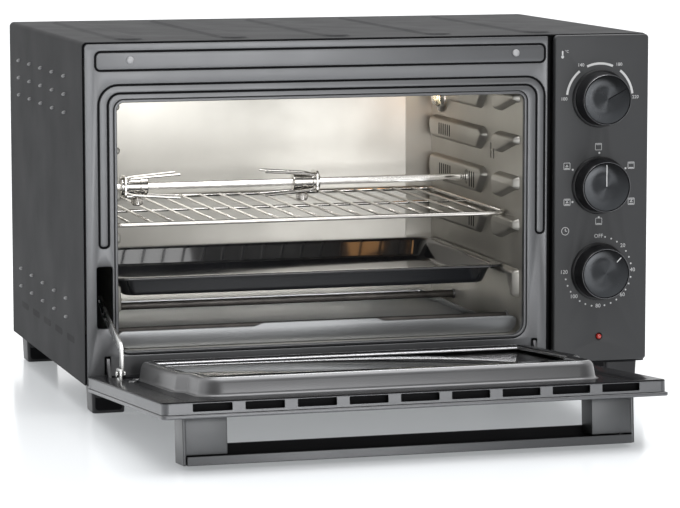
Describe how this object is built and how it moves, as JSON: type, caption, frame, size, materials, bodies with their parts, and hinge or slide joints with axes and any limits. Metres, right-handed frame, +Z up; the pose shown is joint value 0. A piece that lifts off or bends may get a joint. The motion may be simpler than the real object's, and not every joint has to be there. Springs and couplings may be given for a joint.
{
  "type": "rotisserie oven",
  "caption": "Countertop electric oven with an open drop-down glass door, a motor-driven spit with clamping forks, a wire rack, trays and a side column of rotary controls.",
  "frame": {"origin": "under the middle of the whole object's bounding box, on the surface the feet stand on, with the door open", "axes": "+X to the right seen from the front, +Y from the front towards the back, +Z up"},
  "size_m": [0.48, 0.5928, 0.301],
  "materials": {
    "cover": "satin charcoal powder coat",
    "front": "satin anthracite paint",
    "liner": "aluminised sheet with a soft sheen",
    "enamel": "glossy dark enamel",
    "chrome": "polished plating",
    "steel": "zinc-plated, slightly dull",
    "heater": "heat-darkened sheath",
    "plastic": "fine moulded grain",
    "handle": "satin grey paint",
    "knob": "dark spun face",
    "control": "moulded housing",
    "motor": "stamped casing",
    "lens": "clear red",
    "glass": "clear tempered glass",
    "lamp": "frosted bulb"
  },
  "bodies": {
    "casing": {"outer_cover": "cover", "back_panel": "cover", "base_plate": "cover", "front_frame": "front", "control_panel": "front", "cord_gland": "plastic", "frame_screw_1": "steel", "frame_screw_2": "steel", "foot_front_left": "plastic", "foot_front_right": "plastic", "foot_rear_left": "plastic", "foot_rear_right": "plastic", "cavity_left_wall": "liner", "cavity_right_wall": "liner", "cavity_rear_wall": "liner", "cavity_ceiling": "liner", "cavity_floor": "liner", "lower_heating_rod_front": "heater", "lower_heating_rod_rear": "heater", "upper_heating_rod_front": "heater", "upper_heating_rod_rear": "heater", "oven_lamp": "lamp", "lamp_cover": "glass", "rotisserie_motor": "motor", "spit_support": "steel", "thermostat": "control", "function_switch": "control", "timer": "control", "indicator_lens": "lens", "hinge_lug_left": "steel", "hinge_lug_right": "steel"},
    "door": {"door_frame": "front", "door_outer_panel": "front", "door_glass": "glass", "handle_bar": "handle", "handle_end_left": "handle", "handle_end_right": "handle", "hinge_pin_left": "steel", "hinge_pin_right": "steel", "hinge_leaf_right": "steel", "stay_bracket": "steel", "stay_rivet": "steel", "door_screw_1": "steel", "door_screw_2": "steel"},
    "stay": {"stay_arm": "steel"},
    "spit": {"spit_shaft": "chrome", "drive_socket": "steel"},
    "left_fork": {"left_fork": "chrome"},
    "right_fork": {"right_fork": "chrome"},
    "left_thumbscrew": {"left_thumbscrew": "chrome"},
    "right_thumbscrew": {"right_thumbscrew": "chrome"},
    "wire_rack": {"wire_rack": "chrome"},
    "baking_tray": {"baking_tray": "enamel"},
    "crumb_tray": {"crumb_tray": "steel"},
    "temperature_control": {"temperature_knob": "knob", "temperature_shaft": "steel"},
    "function_control": {"function_knob": "knob", "function_shaft": "steel"},
    "timer_control": {"timer_knob": "knob", "timer_shaft": "steel"}
  },
  "joints": [
    {"name": "door_hinge", "type": "hinge", "parent": "casing", "child": "door", "pos_m": [-0.04, -0.03063, 0.028], "axis": [1, 0, 0], "range_deg": [-85.4, 0]},
    {"name": "stay_pivot", "type": "hinge", "parent": "door", "child": "stay", "pos_m": [-0.2226, -0.08174, 0.04114], "axis": [1, 0, 0], "range_deg": [0, 78]},
    {"name": "spit_turn", "type": "hinge", "parent": "casing", "child": "spit", "pos_m": [-0.04, 0.11407, 0.1696], "axis": [1, 0, 0], "continuous": true},
    {"name": "left_fork_slide", "type": "slide", "parent": "spit", "child": "left_fork", "axis": [1, 0, 0], "range_m": [-0.02, 0.06]},
    {"name": "right_fork_slide", "type": "slide", "parent": "spit", "child": "right_fork", "axis": [1, 0, 0], "range_m": [-0.01, 0.12]},
    {"name": "left_thumbscrew_turn", "type": "hinge", "parent": "left_fork", "child": "left_thumbscrew", "pos_m": [-0.166, 0.11407, 0.16], "axis": [0, 0, -1], "range_deg": [0, 180]},
    {"name": "right_thumbscrew_turn", "type": "hinge", "parent": "right_fork", "child": "right_thumbscrew", "pos_m": [-0.0215, 0.11407, 0.16], "axis": [0, 0, -1], "range_deg": [0, 180]},
    {"name": "wire_rack_slide", "type": "slide", "parent": "casing", "child": "wire_rack", "axis": [0, -1, 0], "range_m": [0, 0.2]},
    {"name": "baking_tray_slide", "type": "slide", "parent": "casing", "child": "baking_tray", "axis": [0, -1, 0], "range_m": [0, 0.2]},
    {"name": "crumb_tray_slide", "type": "slide", "parent": "casing", "child": "crumb_tray", "axis": [0, -1, 0], "range_m": [0, 0.08]},
    {"name": "temperature_turn", "type": "hinge", "parent": "casing", "child": "temperature_control", "pos_m": [0.1966, -0.03363, 0.2464], "axis": [0, 1, 0], "range_deg": [-155, 25]},
    {"name": "function_turn", "type": "hinge", "parent": "casing", "child": "function_control", "pos_m": [0.1966, -0.03363, 0.1739], "axis": [0, 1, 0], "range_deg": [0, 300]},
    {"name": "timer_turn", "type": "hinge", "parent": "casing", "child": "timer_control", "pos_m": [0.1966, -0.03363, 0.1014], "axis": [0, 1, 0], "range_deg": [-45, 225]}
  ],
  "couplings": [
    {"joint": "stay_pivot", "follows": "door_hinge", "ratio": -0.9}
  ]
}
